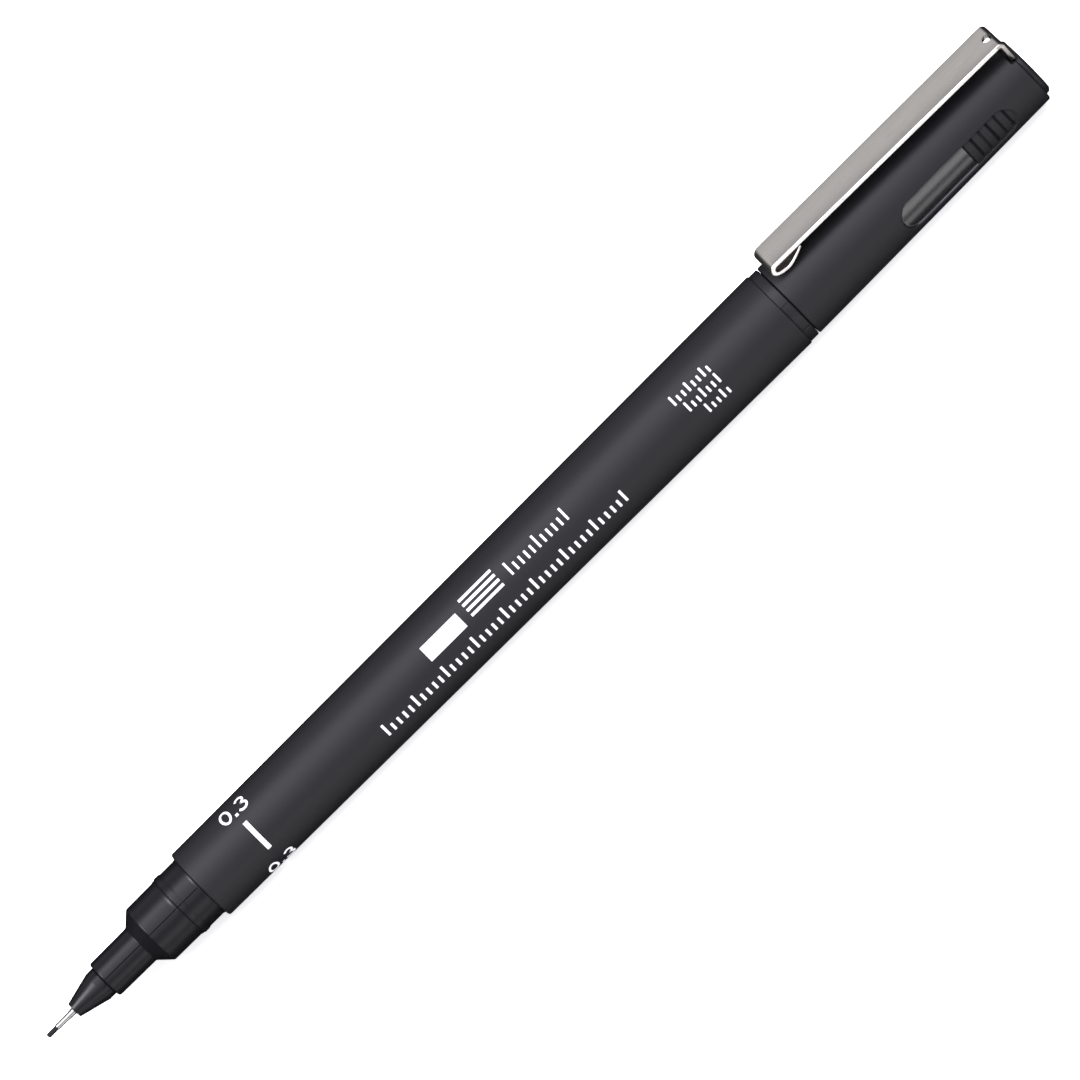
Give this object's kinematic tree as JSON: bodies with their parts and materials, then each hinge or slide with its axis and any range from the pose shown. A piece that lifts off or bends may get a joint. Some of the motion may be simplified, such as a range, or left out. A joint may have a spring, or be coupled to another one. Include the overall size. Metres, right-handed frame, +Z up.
{
  "type": "technical pen",
  "caption": "Slim technical pen with a stepped nose, steel-pipe fibre point, tapered round barrel and a clipped cap posted on its tail.",
  "frame": {"origin": "under the middle of the pen's length, on the plane that the widest part of the barrel stands on", "axes": "+X along the pen from its point to the closed end of the cap, +Z up through the clip"},
  "size_m": [0.16, 0.0108, 0.0128],
  "materials": {
    "nib_fibre": "porous fibre, matte",
    "nib_steel": "drawn and polished",
    "nose_plastic": "semi-gloss moulding",
    "barrel_plastic": "fine satin moulding",
    "reservoir_fibre": "ink-soaked fibre",
    "wrap_film": "thin clear film",
    "tail_plastic": "satin moulding",
    "cap_plastic": "fine satin moulding",
    "liner_plastic": "natural polypropylene",
    "clip_metal": "satin nickel"
  },
  "bodies": {
    "pen": {"nib": "nib_fibre", "nib_pipe": "nib_steel", "nose_cone": "nose_plastic", "front_section": "nose_plastic", "barrel": "barrel_plastic", "ink_reservoir": "reservoir_fibre", "reservoir_wrap": "wrap_film", "tail_plug": "tail_plastic"},
    "cap": {"cap_shell": "cap_plastic", "inner_cap": "liner_plastic", "cap_end_plug": "tail_plastic"},
    "clip": {"clip": "clip_metal"}
  },
  "joints": [
    {"name": "cap_slide", "type": "slide", "parent": "pen", "child": "cap", "axis": [1, 0, 0], "range_m": [0, 0.04]},
    {"name": "clip_flex", "type": "hinge", "parent": "cap", "child": "clip", "pos_m": [0.0789, 0, 0.00925], "axis": [0, 1, 0], "range_deg": [0, 5], "stiffness_Nm_per_rad": 0.8}
  ]
}
